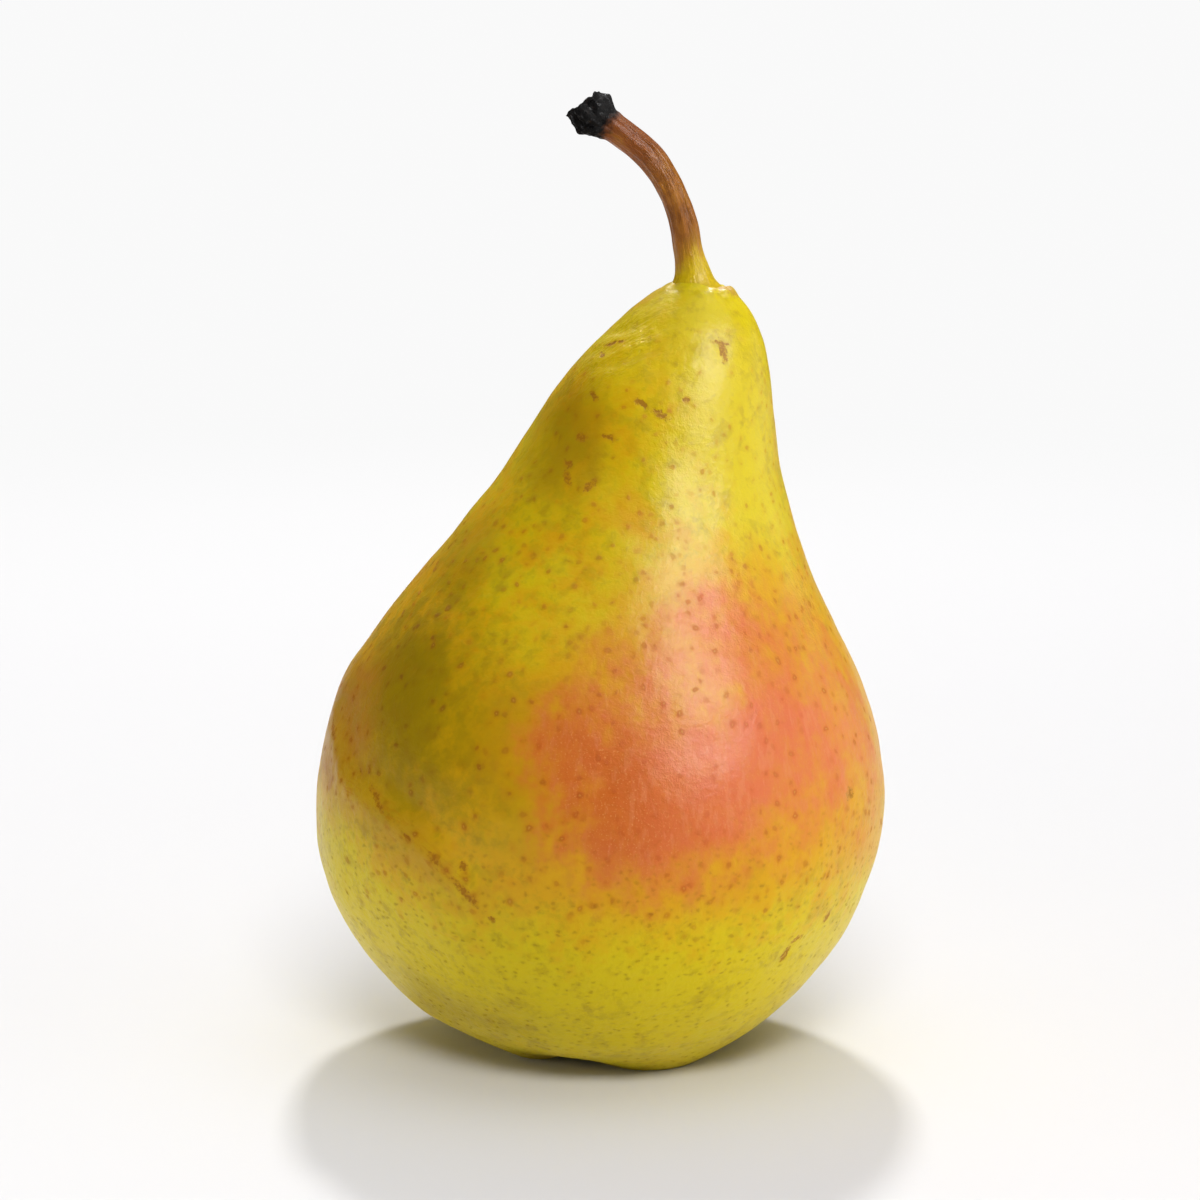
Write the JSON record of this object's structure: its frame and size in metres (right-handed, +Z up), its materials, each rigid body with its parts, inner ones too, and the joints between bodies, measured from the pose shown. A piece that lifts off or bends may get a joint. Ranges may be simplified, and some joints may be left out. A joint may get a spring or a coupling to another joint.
{
  "type": "pear",
  "caption": "Ripe yellow-green pear with a red blush, a leaning neck and a curved woody stem, standing on its blossom end.",
  "frame": {"origin": "on the ground under the middle of the pear's box", "axes": "+Z up from the blossom end to the stem, -Y is the side with the blush, +X is where the neck leans"},
  "size_m": [0.0706, 0.0692, 0.1186],
  "materials": {
    "skin": "thin waxy satin skin, yellow-green with an orange-red blush and small brown dots",
    "stem": "smooth brown bark with fine ridges, green at the foot and black at the dried end",
    "sepal": "dried, dark brown, matte",
    "stamens": "dried, dark, matte"
  },
  "bodies": {
    "root": {"pear_body": "skin", "stem": "stem", "sepal_1": "sepal", "sepal_2": "sepal", "sepal_3": "sepal", "sepal_4": "sepal", "sepal_5": "sepal", "stamen_tuft": "stamens"}
  },
  "joints": []
}
